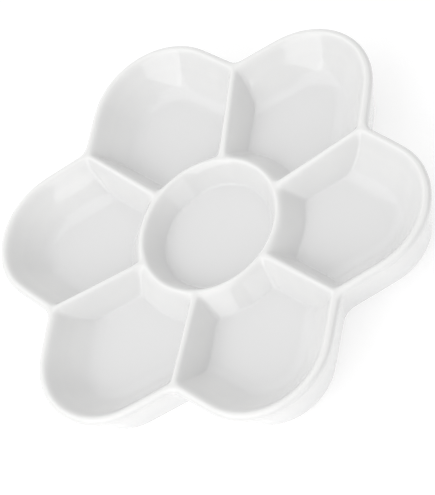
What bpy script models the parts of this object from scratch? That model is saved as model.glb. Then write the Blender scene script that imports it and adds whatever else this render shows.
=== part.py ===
"""Flower-shaped mixing palette, cast as one piece of white glazed porcelain, 150 mm across.

Six petal wells stand round a round centre well. Thin rounded rims part them: an outer rim that
follows the petals, six straight dividers and a ring round the centre. The ring sits a little
lower than the outer rim, so the dividers slope down towards it. The underside has a low foot
that follows the petals round a shallow recess.
"""
import math

import bmesh
import bpy
from mathutils import Matrix, Vector

MM = 0.001

# Plan of the crests, the lines along the middle of the rims' tops
PETALS = 6
SPAN = 150.0 * MM
RIM_RADIUS = 1.7 * MM
PETAL_CENTRE = 50.0 * MM
TIP_ARC = SPAN / 2 - RIM_RADIUS - PETAL_CENTRE
FLANK_ANGLE = math.radians(59)
RING_RADIUS = 23.7 * MM
HALF_PETAL = math.pi / PETALS

# Heights
HEIGHT = 19.0 * MM
RING_DROP = 3.0 * MM
SLOPE_START = 54.0 * MM
WELL_DEPTH = 10.4 * MM
FLOOR_HEIGHT = HEIGHT - WELL_DEPTH

# Walls of the wells: draft from upright, and the fillet where the wall meets the floor. The
# outer wall is a wide slope that grows shallower on its way down, so it has two drafts
OUTER_TOP_DRAFT = math.radians(38)
OUTER_FOOT_DRAFT = math.radians(54)
OUTER_FILLET = 1.5 * MM
SIDE_DRAFT = math.radians(25.5)
SIDE_FILLET = 1.0 * MM
RING_DRAFT = math.radians(37)
RING_FILLET = 1.0 * MM
CENTRE_DRAFT = math.radians(29)
CENTRE_FILLET = 1.0 * MM
CORNER_AT_RIM = 2.2 * MM
CORNER_AT_FLOOR = 3.5 * MM
RING_CORNER = 1.8 * MM

# Outside wall, foot and recess
NOTCH_AT_CREST = 6.2 * MM
NOTCH_AT_RIM = 4.5 * MM
NOTCH_AT_FOOT = 6.5 * MM
WALL_INSET = 5.8 * MM
EDGE_RADIUS = 2.0 * MM
FOOT_WIDTH = 5.0 * MM
RECESS_DEPTH = 3.0 * MM
RECESS_SLOPE = 1.5 * MM

# Steps that the round stretches are divided into
TIP_STEPS = 6
CORNER_STEPS = 4
SIDE_STEPS = 3
RING_CORNER_STEPS = 2
RING_STEPS = 2
LIP_STEPS = 3
WALL_STEPS = 2
FILLET_STEPS = 2
MERGE = 0.001 * MM


def clear_scene():
    for obj in list(bpy.data.objects):
        bpy.data.objects.remove(obj, do_unlink=True)


def along(angle, length=1.0):
    """A plan vector of this length at this angle from +X."""
    return Vector((math.cos(angle), math.sin(angle))) * length


def arc(centre, radius, start, end, steps):
    """Points on a circle from one angle to another, both ends included."""
    return [centre + along(start + (end - start) * i / steps, radius) for i in range(steps + 1)]


def line(start, end, steps):
    """Points between two points, both left out."""
    return [start.lerp(end, i / steps) for i in range(1, steps)]


def crest_height(point):
    """Height of the crest over a plan point: level at the rim, sloping down to the ring."""
    share = (SLOPE_START - point.length) / (SLOPE_START - RING_RADIUS)
    return HEIGHT - RING_DROP * min(max(share, 0.0), 1.0)


def outside_half(offset, notch_radius):
    """Half of one petal's outline from its tip to the notch, this far outside the crest."""
    tip_radius = TIP_ARC + offset
    tip = arc(Vector((PETAL_CENTRE, 0)), tip_radius, 0, FLANK_ANGLE, TIP_STEPS)
    flank = tip_radius + PETAL_CENTRE * math.cos(FLANK_ANGLE)
    reach = (flank + notch_radius) / math.cos(FLANK_ANGLE - HALF_PETAL)
    notch_centre = along(HALF_PETAL, reach)
    start = FLANK_ANGLE + math.pi
    end = HALF_PETAL + math.pi
    return tip + arc(notch_centre, notch_radius, start, end, CORNER_STEPS // 2)


def all_round(half):
    """The closed loop made of half a petal's outline, mirrored and turned round all six."""
    petal = [Vector((p.x, -p.y)) for p in reversed(half[1:])] + half[:-1]
    loop = []
    for number in range(PETALS):
        turn = Matrix.Rotation(2 * HALF_PETAL * number, 2)
        loop += [turn @ point for point in petal]
    return loop


def well_corners(outer_inset, side_inset, ring_inset, corner_radius):
    """Centres of the two rounded corners of half a petal well: at the rim and at the ring."""
    to_well = along(HALF_PETAL - math.pi / 2)
    flank = TIP_ARC - outer_inset + PETAL_CENTRE * math.cos(FLANK_ANGLE) - corner_radius
    side = side_inset + corner_radius
    between = FLANK_ANGLE - HALF_PETAL
    at_rim = along(HALF_PETAL, (flank + side * math.sin(between)) / math.cos(between)) + to_well * side
    side = side_inset + RING_CORNER
    reach = math.sqrt((RING_RADIUS + ring_inset + RING_CORNER) ** 2 - side ** 2)
    at_ring = along(HALF_PETAL, reach) + to_well * side
    return at_rim, at_ring


def well_half(outer_inset, side_inset, ring_inset, corner_radius):
    """Half of one petal well's outline, from its tip to the ring, this far inside the crests."""
    at_rim, at_ring = well_corners(outer_inset, side_inset, ring_inset, corner_radius)
    side_angle = HALF_PETAL + math.pi / 2
    ring_angle = math.atan2(at_ring.y, at_ring.x)
    tip = arc(Vector((PETAL_CENTRE, 0)), TIP_ARC - outer_inset, 0, FLANK_ANGLE, TIP_STEPS)
    rim_corner = arc(at_rim, corner_radius, FLANK_ANGLE, side_angle, CORNER_STEPS)
    ring_corner = arc(at_ring, RING_CORNER, side_angle, ring_angle + math.pi, RING_CORNER_STEPS)
    ring = arc(Vector((0, 0)), RING_RADIUS + ring_inset, ring_angle, 0, RING_STEPS)
    side = line(rim_corner[-1], ring_corner[0], SIDE_STEPS)
    return tip + rim_corner + side + ring_corner + ring[1:]


def crest_half():
    """Half of the crest lines round one petal well, point for point like well_half."""
    at_rim, at_ring = well_corners(RIM_RADIUS, RIM_RADIUS, RIM_RADIUS, CORNER_AT_RIM)
    outside = outside_half(0, NOTCH_AT_CREST)
    ray = along(HALF_PETAL)
    side_start = ray * at_rim.dot(ray)
    side_end = ray * at_ring.dot(ray)
    ring_angle = math.atan2(at_ring.y, at_ring.x)
    origin = Vector((0, 0))
    half = outside + line(outside[-1], side_start, CORNER_STEPS // 2) + [side_start]
    half += line(side_start, side_end, SIDE_STEPS) + [side_end]
    half += line(side_end, ray * RING_RADIUS, RING_CORNER_STEPS // 2)
    half += arc(origin, RING_RADIUS, HALF_PETAL, ring_angle, RING_CORNER_STEPS // 2)
    return half + arc(origin, RING_RADIUS, ring_angle, 0, RING_STEPS)[1:]


def wall_profile(depth, top_draft, foot_draft, fillet):
    """(inset, drop) pairs down a wall: the rounded lip, the sloped face and the fillet."""
    points = []
    for step in range(1, LIP_STEPS + 1):
        turn = (math.pi / 2 - top_draft) * step / LIP_STEPS
        points.append((RIM_RADIUS * math.sin(turn), RIM_RADIUS * (1 - math.cos(turn))))
    inset, top = points[-1]
    foot = depth - fillet * (1 - math.sin(foot_draft))
    for step in range(1, WALL_STEPS + 1):
        draft = top_draft + (foot_draft - top_draft) * (step - 0.5) / WALL_STEPS
        inset += (foot - top) / WALL_STEPS * math.tan(draft)
        points.append((inset, top + (foot - top) * step / WALL_STEPS))
    centre = inset + fillet * math.cos(foot_draft)
    for step in range(1, FILLET_STEPS + 1):
        turn = foot_draft + (math.pi / 2 - foot_draft) * step / FILLET_STEPS
        points.append((centre - fillet * math.cos(turn), depth - fillet * (1 - math.sin(turn))))
    return points


def add_loop(bm, points, heights, turn):
    return [bm.verts.new((*(turn @ p), h)) for p, h in zip(points, heights)]


def bridge(bm, first, second):
    """A closed band of four-sided faces between two loops with as many points."""
    for i in range(len(first)):
        j = (i + 1) % len(first)
        bm.faces.new((first[i], first[j], second[j], second[i]))


def mirrored(values, flip):
    """A half loop's values and their mirror image, as one closed loop."""
    return list(values) + [flip(value) for value in reversed(values[1:-1])]


def blend(first, second, steps):
    return [first + (second - first) * i / steps for i in range(steps + 1)]


def add_petal_well(bm, number):
    """The inside of one petal well, from the crests round it down to its flat floor."""
    turn = Matrix.Rotation(2 * HALF_PETAL * number, 2)
    ring_depth = WELL_DEPTH - RING_DROP
    side_depth = WELL_DEPTH - RING_DROP / 2
    outer = wall_profile(WELL_DEPTH, OUTER_TOP_DRAFT, OUTER_FOOT_DRAFT, OUTER_FILLET)
    side = wall_profile(side_depth, SIDE_DRAFT, SIDE_DRAFT, SIDE_FILLET)
    ring = wall_profile(ring_depth, RING_DRAFT, RING_DRAFT, RING_FILLET)
    crest = mirrored(crest_half(), lambda p: Vector((p.x, -p.y)))
    tops = [crest_height(point) for point in crest]
    above = add_loop(bm, crest, tops, turn)
    for level, (at_outer, at_side, at_ring) in enumerate(zip(outer, side, ring), 1):
        share = level / len(outer)
        corner = CORNER_AT_RIM + (CORNER_AT_FLOOR - CORNER_AT_RIM) * share
        half = well_half(at_outer[0], at_side[0], at_ring[0], corner)
        outer_share = 1 - at_outer[1] / WELL_DEPTH
        side_share = 1 - at_side[1] / side_depth
        ring_share = 1 - at_ring[1] / ring_depth
        shares = [outer_share] * TIP_STEPS + [outer_share]
        shares += blend(outer_share, side_share, CORNER_STEPS) + [side_share] * (SIDE_STEPS - 1)
        shares += blend(side_share, ring_share, RING_CORNER_STEPS) + [ring_share] * RING_STEPS
        outline = mirrored(half, lambda p: Vector((p.x, -p.y)))
        shares = mirrored(shares, lambda value: value)
        heights = [FLOOR_HEIGHT + (top - FLOOR_HEIGHT) * s for top, s in zip(tops, shares)]
        below = add_loop(bm, outline, heights, turn)
        bridge(bm, below, above)
        above = below
    bm.faces.new(above)


def add_centre_well(bm):
    """The inside of the round well, from the ring's crest down to its flat floor."""
    still = Matrix.Identity(2)
    half = [point for point in reversed(crest_half()) if abs(point.length - RING_RADIUS) < MERGE]
    crest = all_round(half)
    depth = WELL_DEPTH - RING_DROP
    top = HEIGHT - RING_DROP
    above = add_loop(bm, crest, [top] * len(crest), still)
    for inset, drop in wall_profile(depth, CENTRE_DRAFT, CENTRE_DRAFT, CENTRE_FILLET):
        outline = [point * (1 - inset / RING_RADIUS) for point in crest]
        below = add_loop(bm, outline, [top - drop] * len(crest), still)
        bridge(bm, above, below)
        above = below
    bm.faces.new(above)


def outside_levels():
    """(offset, notch radius, height) of each outline down the outside, foot and recess."""
    levels = [(0.0, NOTCH_AT_CREST, HEIGHT)]
    for step in range(1, LIP_STEPS + 1):
        turn = math.pi / 2 * step / LIP_STEPS
        share = math.sin(turn)
        notch = NOTCH_AT_CREST + (NOTCH_AT_RIM - NOTCH_AT_CREST) * share
        levels.append((RIM_RADIUS * share, notch, HEIGHT - RIM_RADIUS * (1 - math.cos(turn))))
    foot = RIM_RADIUS - WALL_INSET
    for step in range(LIP_STEPS + 1):
        turn = math.pi / 2 * step / LIP_STEPS
        inset = EDGE_RADIUS * (1 - math.cos(turn))
        levels.append((foot - inset, NOTCH_AT_FOOT, EDGE_RADIUS * (1 - math.sin(turn))))
    recess = foot - EDGE_RADIUS - FOOT_WIDTH
    levels.append((recess, NOTCH_AT_FOOT, 0.0))
    levels.append((recess - RECESS_SLOPE, NOTCH_AT_FOOT, RECESS_DEPTH))
    return levels


def add_outside(bm):
    """The outer wall from the rim's crest down, the foot and the recess under the palette."""
    still = Matrix.Identity(2)
    above = None
    for offset, notch_radius, height in outside_levels():
        outline = all_round(outside_half(offset, notch_radius))
        below = add_loop(bm, outline, [height] * len(outline), still)
        if above:
            bridge(bm, below, above)
        above = below
    bm.faces.new(reversed(above))


def glazed_porcelain():
    material = bpy.data.materials.new("glazed_porcelain")
    material.use_nodes = True
    surface = material.node_tree.nodes["Principled BSDF"]
    surface.inputs["Base Color"].default_value = (0.86, 0.86, 0.85, 1.0)
    surface.inputs["Roughness"].default_value = 0.08
    surface.inputs["Metallic"].default_value = 0.0
    return material


def make_palette_body():
    bm = bmesh.new()
    add_outside(bm)
    add_centre_well(bm)
    for number in range(PETALS):
        add_petal_well(bm, number)
    bmesh.ops.remove_doubles(bm, verts=bm.verts, dist=MERGE)
    bmesh.ops.recalc_face_normals(bm, faces=bm.faces)
    mesh = bpy.data.meshes.new("palette_body")
    bm.to_mesh(mesh)
    bm.free()
    mesh.shade_smooth()
    mesh.materials.append(glazed_porcelain())
    body = bpy.data.objects.new("palette_body", mesh)
    bpy.context.scene.collection.objects.link(body)
    return body


clear_scene()
make_palette_body()
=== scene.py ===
import math

import bmesh
import bpy
from mathutils import Matrix, Vector


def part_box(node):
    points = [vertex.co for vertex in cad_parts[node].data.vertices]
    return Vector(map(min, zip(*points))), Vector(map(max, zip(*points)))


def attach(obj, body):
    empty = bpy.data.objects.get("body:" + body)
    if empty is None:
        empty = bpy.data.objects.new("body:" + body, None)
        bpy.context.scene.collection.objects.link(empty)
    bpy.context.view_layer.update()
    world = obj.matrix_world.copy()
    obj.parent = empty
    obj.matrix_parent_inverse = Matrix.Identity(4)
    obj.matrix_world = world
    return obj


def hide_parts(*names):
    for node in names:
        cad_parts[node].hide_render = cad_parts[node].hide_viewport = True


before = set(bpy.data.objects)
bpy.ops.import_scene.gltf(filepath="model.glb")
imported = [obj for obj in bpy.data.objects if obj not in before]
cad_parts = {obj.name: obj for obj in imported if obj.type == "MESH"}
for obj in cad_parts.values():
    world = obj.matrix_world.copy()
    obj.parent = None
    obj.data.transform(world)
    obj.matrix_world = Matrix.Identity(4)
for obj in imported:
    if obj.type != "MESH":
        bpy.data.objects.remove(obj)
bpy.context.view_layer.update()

# ---------------------------------------------------------------------------------------------
# Palette body: one casting of white porcelain, six petal wells round a round one. It is pressed
# in a mould, so every wall has draft, and the glaze rounds the crests and fills the creases. The
# cage below holds its rims, walls and foot, and a subdivision surface rounds it.
# ---------------------------------------------------------------------------------------------
MM = 0.001
low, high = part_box("palette_body")
HEIGHT = high[2] - low[2]
PETALS = 6
HALF_PETAL = math.pi / PETALS
RIM_RADIUS = 1.7 * MM
LIP_REACH = 2.6 * MM
PETAL_CENTRE = 50.0 * MM
TIP_ARC = high[0] - RIM_RADIUS - PETAL_CENTRE
FLANK_ANGLE = math.radians(59)
RING_RADIUS = 23.7 * MM
RING_DROP = 3.0 * MM
SLOPE_START = 54.0 * MM
WELL_DEPTH = 10.4 * MM
FLOOR_HEIGHT = HEIGHT - WELL_DEPTH
OUTER_TOP_DRAFT = math.radians(38)
OUTER_FOOT_DRAFT = math.radians(54)
OUTER_FILLET = 9.0 * MM
SIDE_DRAFT = math.radians(25.5)
SIDE_FILLET = 1.0 * MM
RING_DRAFT = math.radians(37)
RING_FILLET = 1.0 * MM
CENTRE_DRAFT = math.radians(29)
CENTRE_FILLET = 1.0 * MM
FLOOR_MARGIN = 1.0 * MM
CORNER_AT_RIM = 2.2 * MM
CORNER_AT_FLOOR = 3.5 * MM
RING_CORNER = 1.8 * MM
NOTCH_AT_CREST = 6.2 * MM
NOTCH_AT_RIM = 4.5 * MM
NOTCH_AT_FOOT = 6.5 * MM
WALL_INSET = 5.8 * MM
EDGE_RADIUS = 2.0 * MM
FOOT_WIDTH = 5.0 * MM
RECESS_DEPTH = 3.0 * MM
RECESS_SLOPE = 1.5 * MM
SUPPORT = 0.3 * MM
TIP_STEPS = 6
CORNER_STEPS = 4
SIDE_STEPS = 3
RING_CORNER_STEPS = 2
RING_STEPS = 2
LIP_STEPS = 4
WALL_STEPS = 3
FILLET_STEPS = 3
MERGE = 0.001 * MM


def along(angle, length=1.0):
    """A plan vector of this length at this angle from +X."""
    return Vector((math.cos(angle), math.sin(angle))) * length


def arc(centre, radius, start, end, steps):
    """Points on a circle from one angle to another, both ends included."""
    return [centre + along(start + (end - start) * i / steps, radius) for i in range(steps + 1)]


def line(start, end, steps):
    """Points between two points, both left out."""
    return [start.lerp(end, i / steps) for i in range(1, steps)]


def crest_height(point):
    """Height of the crest over a plan point: level at the rim, sloping down to the ring."""
    share = (SLOPE_START - point.length) / (SLOPE_START - RING_RADIUS)
    return HEIGHT - RING_DROP * min(max(share, 0.0), 1.0)


def outside_half(offset, notch_radius):
    """Half of one petal's outline from its tip to the notch, this far outside the crest."""
    tip_radius = TIP_ARC + offset
    tip = arc(Vector((PETAL_CENTRE, 0)), tip_radius, 0, FLANK_ANGLE, TIP_STEPS)
    flank = tip_radius + PETAL_CENTRE * math.cos(FLANK_ANGLE)
    reach = (flank + notch_radius) / math.cos(FLANK_ANGLE - HALF_PETAL)
    notch_centre = along(HALF_PETAL, reach)
    start = FLANK_ANGLE + math.pi
    end = HALF_PETAL + math.pi
    return tip + arc(notch_centre, notch_radius, start, end, CORNER_STEPS // 2)


def all_round(half):
    """The closed loop made of half a petal's outline, mirrored and turned round all six."""
    petal = [Vector((p.x, -p.y)) for p in reversed(half[1:])] + half[:-1]
    loop = []
    for number in range(PETALS):
        turn = Matrix.Rotation(2 * HALF_PETAL * number, 2)
        loop += [turn @ point for point in petal]
    return loop


def well_corners(outer_inset, side_inset, ring_inset, corner_radius):
    """Centres of the two rounded corners of half a petal well: at the rim and at the ring."""
    to_well = along(HALF_PETAL - math.pi / 2)
    flank = TIP_ARC - outer_inset + PETAL_CENTRE * math.cos(FLANK_ANGLE) - corner_radius
    side = side_inset + corner_radius
    between = FLANK_ANGLE - HALF_PETAL
    reach = (flank + side * math.sin(between)) / math.cos(between)
    at_rim = along(HALF_PETAL, reach) + to_well * side
    side = side_inset + RING_CORNER
    reach = math.sqrt((RING_RADIUS + ring_inset + RING_CORNER) ** 2 - side ** 2)
    at_ring = along(HALF_PETAL, reach) + to_well * side
    return at_rim, at_ring


def well_half(outer_inset, side_inset, ring_inset, corner_radius):
    """Half of one petal well's outline, from its tip to the ring, this far inside the crests."""
    at_rim, at_ring = well_corners(outer_inset, side_inset, ring_inset, corner_radius)
    side_angle = HALF_PETAL + math.pi / 2
    ring_angle = math.atan2(at_ring.y, at_ring.x)
    tip = arc(Vector((PETAL_CENTRE, 0)), TIP_ARC - outer_inset, 0, FLANK_ANGLE, TIP_STEPS)
    rim_corner = arc(at_rim, corner_radius, FLANK_ANGLE, side_angle, CORNER_STEPS)
    ring_corner = arc(at_ring, RING_CORNER, side_angle, ring_angle + math.pi, RING_CORNER_STEPS)
    ring = arc(Vector((0, 0)), RING_RADIUS + ring_inset, ring_angle, 0, RING_STEPS)
    side = line(rim_corner[-1], ring_corner[0], SIDE_STEPS)
    return tip + rim_corner + side + ring_corner + ring[1:]


def crest_half():
    """Half of the crest lines round one petal well, point for point like well_half."""
    at_rim, at_ring = well_corners(RIM_RADIUS, RIM_RADIUS, RIM_RADIUS, CORNER_AT_RIM)
    outside = outside_half(0, NOTCH_AT_CREST)
    ray = along(HALF_PETAL)
    side_start = ray * at_rim.dot(ray)
    side_end = ray * at_ring.dot(ray)
    ring_angle = math.atan2(at_ring.y, at_ring.x)
    origin = Vector((0, 0))
    half = outside + line(outside[-1], side_start, CORNER_STEPS // 2) + [side_start]
    half += line(side_start, side_end, SIDE_STEPS) + [side_end]
    half += line(side_end, ray * RING_RADIUS, RING_CORNER_STEPS // 2)
    half += arc(origin, RING_RADIUS, HALF_PETAL, ring_angle, RING_CORNER_STEPS // 2)
    return half + arc(origin, RING_RADIUS, ring_angle, 0, RING_STEPS)[1:]


def wall_profile(depth, top_draft, foot_draft, fillet):
    """(inset, drop) pairs down a wall: the glazed lip, the sloped face and the fillet."""
    points = []
    corner = RIM_RADIUS * math.tan(math.pi / 4 - top_draft / 2)
    for step in range(1, LIP_STEPS + 1):
        share = step / LIP_STEPS
        inset = 2 * share * (1 - share) * corner
        inset += share ** 2 * (corner + LIP_REACH * math.sin(top_draft))
        points.append((inset, share ** 2 * LIP_REACH * math.cos(top_draft)))
    inset, top = points[-1]
    foot = depth - fillet * (1 - math.sin(foot_draft))
    for step in range(1, WALL_STEPS + 1):
        draft = top_draft + (foot_draft - top_draft) * (step - 0.5) / WALL_STEPS
        inset += (foot - top) / WALL_STEPS * math.tan(draft)
        points.append((inset, top + (foot - top) * step / WALL_STEPS))
    centre = inset + fillet * math.cos(foot_draft)
    for step in range(1, FILLET_STEPS + 1):
        turn = foot_draft + (math.pi / 2 - foot_draft) * step / FILLET_STEPS
        points.append((centre - fillet * math.cos(turn), depth - fillet * (1 - math.sin(turn))))
    return points + [(centre + FLOOR_MARGIN, depth)]


def add_loop(bm, points, heights, turn):
    """A closed loop of corners over these plan points, turned round to its petal."""
    return [bm.verts.new((*(turn @ p), h)) for p, h in zip(points, heights)]


def bridge(bm, first, second):
    """A closed band of four-sided faces between two loops with as many points."""
    for i in range(len(first)):
        j = (i + 1) % len(first)
        bm.faces.new((first[i], first[j], second[j], second[i]))


def mirrored(values, flip):
    """A half loop's values and their mirror image, as one closed loop."""
    return list(values) + [flip(value) for value in reversed(values[1:-1])]


def blend(first, second, steps):
    """Values that go evenly from the first to the second, both included."""
    return [first + (second - first) * i / steps for i in range(steps + 1)]


def add_petal_well(bm, number):
    """The inside of one petal well, from the crests round it down to its flat floor."""
    turn = Matrix.Rotation(2 * HALF_PETAL * number, 2)
    ring_depth = WELL_DEPTH - RING_DROP
    side_depth = WELL_DEPTH - RING_DROP / 2
    outer = wall_profile(WELL_DEPTH, OUTER_TOP_DRAFT, OUTER_FOOT_DRAFT, OUTER_FILLET)
    side = wall_profile(side_depth, SIDE_DRAFT, SIDE_DRAFT, SIDE_FILLET)
    ring = wall_profile(ring_depth, RING_DRAFT, RING_DRAFT, RING_FILLET)
    crest = mirrored(crest_half(), lambda p: Vector((p.x, -p.y)))
    tops = [crest_height(point) for point in crest]
    above = add_loop(bm, crest, tops, turn)
    for level, (at_outer, at_side, at_ring) in enumerate(zip(outer, side, ring), 1):
        share = level / len(outer)
        corner = CORNER_AT_RIM + (CORNER_AT_FLOOR - CORNER_AT_RIM) * share
        half = well_half(at_outer[0], at_side[0], at_ring[0], corner)
        outer_share = 1 - at_outer[1] / WELL_DEPTH
        side_share = 1 - at_side[1] / side_depth
        ring_share = 1 - at_ring[1] / ring_depth
        shares = [outer_share] * TIP_STEPS + [outer_share]
        shares += blend(outer_share, side_share, CORNER_STEPS) + [side_share] * (SIDE_STEPS - 1)
        shares += blend(side_share, ring_share, RING_CORNER_STEPS) + [ring_share] * RING_STEPS
        outline = mirrored(half, lambda p: Vector((p.x, -p.y)))
        shares = mirrored(shares, lambda value: value)
        heights = [FLOOR_HEIGHT + (top - FLOOR_HEIGHT) * s for top, s in zip(tops, shares)]
        below = add_loop(bm, outline, heights, turn)
        bridge(bm, below, above)
        above = below
    bm.faces.new(above)


def add_centre_well(bm):
    """The inside of the round well, from the ring's crest down to its flat floor."""
    still = Matrix.Identity(2)
    half = [point for point in reversed(crest_half()) if abs(point.length - RING_RADIUS) < MERGE]
    crest = all_round(half)
    depth = WELL_DEPTH - RING_DROP
    top = HEIGHT - RING_DROP
    above = add_loop(bm, crest, [top] * len(crest), still)
    for inset, drop in wall_profile(depth, CENTRE_DRAFT, CENTRE_DRAFT, CENTRE_FILLET):
        outline = [point * (1 - inset / RING_RADIUS) for point in crest]
        below = add_loop(bm, outline, [top - drop] * len(crest), still)
        bridge(bm, above, below)
        above = below
    bm.faces.new(above)


def outside_levels():
    """(offset, notch radius, height) of each outline down the outside, foot and recess."""
    levels = [(0.0, NOTCH_AT_CREST, HEIGHT)]
    for step in range(1, LIP_STEPS + 1):
        turn = math.pi / 2 * step / LIP_STEPS
        share = math.sin(turn)
        notch = NOTCH_AT_CREST + (NOTCH_AT_RIM - NOTCH_AT_CREST) * share
        levels.append((RIM_RADIUS * share, notch, HEIGHT - RIM_RADIUS * (1 - math.cos(turn))))
    foot = RIM_RADIUS - WALL_INSET
    top = HEIGHT - RIM_RADIUS
    for step in range(1, WALL_STEPS):
        share = step / WALL_STEPS
        notch = NOTCH_AT_RIM + (NOTCH_AT_FOOT - NOTCH_AT_RIM) * share
        levels.append((RIM_RADIUS - WALL_INSET * share, notch, top + (EDGE_RADIUS - top) * share))
    for step in range(LIP_STEPS + 1):
        turn = math.pi / 2 * step / LIP_STEPS
        inset = EDGE_RADIUS * (1 - math.cos(turn))
        levels.append((foot - inset, NOTCH_AT_FOOT, EDGE_RADIUS * (1 - math.sin(turn))))
    recess = foot - EDGE_RADIUS - FOOT_WIDTH
    bottom = recess - RECESS_SLOPE
    levels.append((recess + SUPPORT, NOTCH_AT_FOOT, 0.0))
    levels.append((recess, NOTCH_AT_FOOT, SUPPORT / 2))
    levels.append((bottom, NOTCH_AT_FOOT, RECESS_DEPTH - SUPPORT))
    levels.append((bottom - SUPPORT, NOTCH_AT_FOOT, RECESS_DEPTH))
    levels.append((bottom - SUPPORT - FLOOR_MARGIN, NOTCH_AT_FOOT, RECESS_DEPTH))
    return levels


def add_outside(bm):
    """The outer wall from the rim's crest down, the foot and the recess under the palette."""
    still = Matrix.Identity(2)
    above = None
    for offset, notch_radius, height in outside_levels():
        outline = all_round(outside_half(offset, notch_radius))
        below = add_loop(bm, outline, [height] * len(outline), still)
        if above:
            bridge(bm, below, above)
        above = below
    bm.faces.new(reversed(above))


bm = bmesh.new()
add_outside(bm)
add_centre_well(bm)
for number in range(PETALS):
    add_petal_well(bm, number)
bmesh.ops.remove_doubles(bm, verts=bm.verts, dist=MERGE)
bmesh.ops.recalc_face_normals(bm, faces=bm.faces)
mesh = bpy.data.meshes.new("palette")
bm.to_mesh(mesh)
bm.free()
mesh.shade_smooth()
palette = bpy.data.objects.new("palette", mesh)
bpy.context.scene.collection.objects.link(palette)
rounding = palette.modifiers.new("rounding", "SUBSURF")
rounding.levels = 2
rounding.render_levels = 2


def linear(hex_colour):
    """An sRGB hex value as linear red, green, blue and a full alpha."""
    shares = [int(hex_colour[i:i + 2], 16) / 255 for i in (1, 3, 5)]
    return [s / 12.92 if s <= 0.04045 else ((s + 0.055) / 1.055) ** 2.4 for s in shares] + [1.0]


def add_node(tree, kind, settings, links=()):
    """A node with its properties and sockets set, and other nodes' outputs wired to its sockets."""
    node = tree.nodes.new(kind)
    for name, value in settings.items():
        if isinstance(name, int) or name in node.inputs:
            node.inputs[name].default_value = value
        else:
            setattr(node, name, value)
    for name, source in links:
        tree.links.new(source, node.inputs[name])
    return node


# Clear gloss glaze over white porcelain, dipped and fired: a hard, glassy skin with a soft, slow
# waviness, faintly mottled, a breath greyer where it pools in the wells, with a painted highlight
# on level ground near the crests. The foot is wiped before firing, so bare, matt porcelain shows.
GLAZE_WAVE = 16 * MM
GLAZE_WAVE_RELIEF = 0.08 * MM
GLAZE_MOTTLE = 7 * MM
GLAZE_POOL = 4 * MM
GLAZE_IOR = 1.5
GLAZE_ROUGHNESS = (0.06, 0.1)
BARE_ROUGHNESS = 0.65
BARE_GRAIN = 0.6 * MM
BARE_BELOW = 0.1 * MM
GLAZED_ABOVE = 0.3 * MM
LOWEST_CREST = HEIGHT - RING_DROP

# A Mix node's sockets share their names, so these are their places on the node.
FACTOR = 0
FIRST_NUMBER = 2
SECOND_NUMBER = 3
FIRST_COLOUR = 6
SECOND_COLOUR = 7
MIXED_NUMBER = 0
MIXED_COLOUR = 2

glaze = bpy.data.materials.new("clear_glaze_on_porcelain")
glaze.use_nodes = True
tree = glaze.node_tree
place = add_node(tree, "ShaderNodeTexCoord", {}).outputs["Object"]
level = add_node(tree, "ShaderNodeSeparateXYZ", {}, [("Vector", place)]).outputs["Z"]
facing = add_node(tree, "ShaderNodeNewGeometry", {}).outputs["Normal"]
upward = add_node(tree, "ShaderNodeSeparateXYZ", {}, [("Vector", facing)]).outputs["Z"]

# Where the glaze pools, where level ground near a crest gets its painted highlight, and where it is
# wiped off.
pooled = add_node(
    tree,
    "ShaderNodeMapRange",
    {
        "interpolation_type": "SMOOTHSTEP",
        "From Min": FLOOR_HEIGHT + GLAZE_POOL,
        "From Max": FLOOR_HEIGHT,
    },
    [("Value", level)],
).outputs["Result"]
level_ground = add_node(
    tree,
    "ShaderNodeMapRange",
    {"interpolation_type": "SMOOTHSTEP", "From Min": 0.6, "From Max": 0.95},
    [("Value", upward)],
).outputs["Result"]
near_crest = add_node(
    tree,
    "ShaderNodeMapRange",
    {"From Min": LOWEST_CREST - 2 * MM, "From Max": LOWEST_CREST - 1 * MM},
    [("Value", level)],
).outputs["Result"]
# Painted highlight: ground that faces up near the crests is made whiter, for the light the crest
# tops catch.
painted_crest_highlight = add_node(
    tree,
    "ShaderNodeMath",
    {"operation": "MULTIPLY"},
    [(0, level_ground), (1, near_crest)],
).outputs["Value"]
bare = add_node(
    tree,
    "ShaderNodeMapRange",
    {"From Min": GLAZED_ABOVE, "From Max": BARE_BELOW},
    [("Value", level)],
).outputs["Result"]

# Mottle in the glaze, its slow waves, and the sandy grain of the bare porcelain.
mottle = add_node(
    tree,
    "ShaderNodeTexNoise",
    {"Scale": 1 / GLAZE_MOTTLE, "Detail": 3.0},
    [("Vector", place)],
).outputs["Fac"]
wave = add_node(
    tree,
    "ShaderNodeTexNoise",
    {"Scale": 1 / GLAZE_WAVE, "Detail": 1.0},
    [("Vector", place)],
).outputs["Fac"]
grain = add_node(
    tree,
    "ShaderNodeTexNoise",
    {"Scale": 1 / BARE_GRAIN, "Detail": 2.0},
    [("Vector", place)],
).outputs["Fac"]

wall_colour = add_node(
    tree,
    "ShaderNodeMix",
    {"data_type": "RGBA", FIRST_COLOUR: linear("#e2e2e2"), SECOND_COLOUR: linear("#e8e8e7")},
    [(FACTOR, mottle)],
).outputs[MIXED_COLOUR]
glaze_colour = add_node(
    tree,
    "ShaderNodeMix",
    {"data_type": "RGBA", SECOND_COLOUR: linear("#e4e4e4")},
    [(FACTOR, pooled), (FIRST_COLOUR, wall_colour)],
).outputs[MIXED_COLOUR]
# The painted highlight on the crest tops: a whiter colour mixed in where they face up.
glaze_colour_with_painted_highlight = add_node(
    tree,
    "ShaderNodeMix",
    {"data_type": "RGBA", SECOND_COLOUR: linear("#eeeeed")},
    [(FACTOR, painted_crest_highlight), (FIRST_COLOUR, glaze_colour)],
).outputs[MIXED_COLOUR]
bare_colour = add_node(
    tree,
    "ShaderNodeMix",
    {"data_type": "RGBA", FIRST_COLOUR: linear("#e6e1d8"), SECOND_COLOUR: linear("#ece8e0")},
    [(FACTOR, grain)],
).outputs[MIXED_COLOUR]
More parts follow.
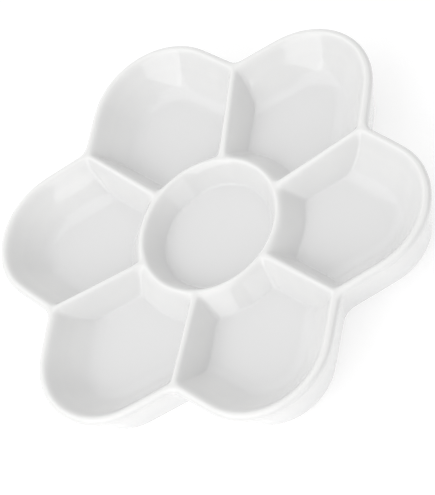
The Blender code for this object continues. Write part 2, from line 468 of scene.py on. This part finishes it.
colour = add_node(
    tree,
    "ShaderNodeMix",
    {"data_type": "RGBA"},
    [(FACTOR, bare), (FIRST_COLOUR, glaze_colour_with_painted_highlight), (SECOND_COLOUR, bare_colour)],
).outputs[MIXED_COLOUR]
glaze_roughness = add_node(
    tree,
    "ShaderNodeMapRange",
    {"To Min": GLAZE_ROUGHNESS[0], "To Max": GLAZE_ROUGHNESS[1]},
    [("Value", mottle)],
).outputs["Result"]
roughness = add_node(
    tree,
    "ShaderNodeMix",
    {"data_type": "FLOAT", SECOND_NUMBER: BARE_ROUGHNESS},
    [(FACTOR, bare), (FIRST_NUMBER, glaze_roughness)],
).outputs[MIXED_NUMBER]
relief = add_node(
    tree,
    "ShaderNodeMix",
    {"data_type": "FLOAT"},
    [(FACTOR, bare), (FIRST_NUMBER, wave), (SECOND_NUMBER, grain)],
).outputs[MIXED_NUMBER]
relief_normal = add_node(
    tree,
    "ShaderNodeBump",
    {"Strength": 1.0, "Distance": GLAZE_WAVE_RELIEF},
    [("Height", relief)],
).outputs["Normal"]

surface = tree.nodes["Principled BSDF"]
surface.inputs["IOR"].default_value = GLAZE_IOR
tree.links.new(colour, surface.inputs["Base Color"])
tree.links.new(roughness, surface.inputs["Roughness"])
tree.links.new(relief_normal, surface.inputs["Normal"])
mesh.materials.append(glaze)

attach(palette, "root")
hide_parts("palette_body")

# ---------------------------------------------------------------------------------------------
# Table: a sheet of opal acrylic lit from below, so that it reads as plain white and the shadow
# under the palette stays faint. It is flat and matt, and far wider than the view.
# ---------------------------------------------------------------------------------------------
TABLE_HALF_WIDTH = 3.0
TABLE_GLOW = 0.52

bm = bmesh.new()
bmesh.ops.create_grid(bm, x_segments=1, y_segments=1, size=TABLE_HALF_WIDTH)
floor_mesh = bpy.data.meshes.new("floor")
bm.to_mesh(floor_mesh)
bm.free()
floor = bpy.data.objects.new("floor", floor_mesh)
scene = bpy.context.scene
scene.collection.objects.link(floor)

# Matt opal acrylic: no gloss to mirror the palette in, and an even glow of its own.
opal = bpy.data.materials.new("lit_opal_acrylic")
opal.use_nodes = True
surface = opal.node_tree.nodes["Principled BSDF"]
surface.inputs["Base Color"].default_value = linear("#c4c4c4")
surface.inputs["Roughness"].default_value = 0.9
surface.inputs["Emission Color"].default_value = linear("#ffffff")
surface.inputs["Emission Strength"].default_value = TABLE_GLOW
floor_mesh.materials.append(opal)

# ---------------------------------------------------------------------------------------------
# Light: an even white tent round the table, and five soft boxes that all point at the palette.
# The main one gives the glaze its window-like highlights, and the others level the walls.
# ---------------------------------------------------------------------------------------------
TENT_GLOW = 0.595

scene.view_settings.view_transform = "Standard"
tent = bpy.data.worlds.new("white_tent")
tent.use_nodes = True
tent.node_tree.nodes["Background"].inputs["Color"].default_value = linear("#ffffff")
tent.node_tree.nodes["Background"].inputs["Strength"].default_value = TENT_GLOW
scene.world = tent


def direction(azimuth, elevation):
    """A unit vector from the palette, by degrees round from +X and degrees up."""
    flat = along(math.radians(azimuth), math.cos(math.radians(elevation)))
    return Vector((flat.x, flat.y, math.sin(math.radians(elevation))))


def add_soft_box(name, azimuth, elevation, distance, width, height, watts):
    """A flat rectangular light that faces the palette from this side."""
    light = bpy.data.lights.new(name, "AREA")
    light.shape = "RECTANGLE"
    light.size = width
    light.size_y = height
    light.energy = watts
    lamp = bpy.data.objects.new(name, light)
    lamp.location = direction(azimuth, elevation) * distance
    lamp.rotation_euler = (-lamp.location).to_track_quat("-Z", "Y").to_euler()
    scene.collection.objects.link(lamp)


add_soft_box("main", -107, 33, distance=1.0, width=1.0, height=0.66, watts=3.4)
add_soft_box("front_fill", -45, 14, distance=1.6, width=0.9, height=0.9, watts=2.7)
add_soft_box("back_fill", 135, 24, distance=1.6, width=1.8, height=1.2, watts=2.6)
add_soft_box("top_left", 195, 60, distance=1.6, width=1.5, height=1.5, watts=5.7)
add_soft_box("top_right", 50, 62, distance=1.6, width=1.6, height=1.6, watts=2.6)

# ---------------------------------------------------------------------------------------------
# Camera: looks down on the palette from the front right, rolled so that the petals run slantwise.
# It aims at a point near the middle of the palette, level with the rims.
# ---------------------------------------------------------------------------------------------
CAMERA_AZIMUTH = -44.27
CAMERA_ELEVATION = 50.466
CAMERA_ROLL = math.radians(-42.486)
CAMERA_DISTANCE = 0.6277
CAMERA_AIM = Vector((6.67 * MM, -10.34 * MM, HEIGHT))

camera = bpy.data.objects.new("camera", bpy.data.cameras.new("camera"))
camera.data.lens = 149.0
camera.data.clip_end = 10.0
back = direction(CAMERA_AZIMUTH, CAMERA_ELEVATION)
upright = back.to_track_quat("Z", "Y").to_matrix()
turned = (upright @ Matrix.Rotation(CAMERA_ROLL, 3, "Z")).to_4x4()
camera.matrix_world = Matrix.Translation(CAMERA_AIM + back * CAMERA_DISTANCE) @ turned
scene.collection.objects.link(camera)
scene.camera = camera
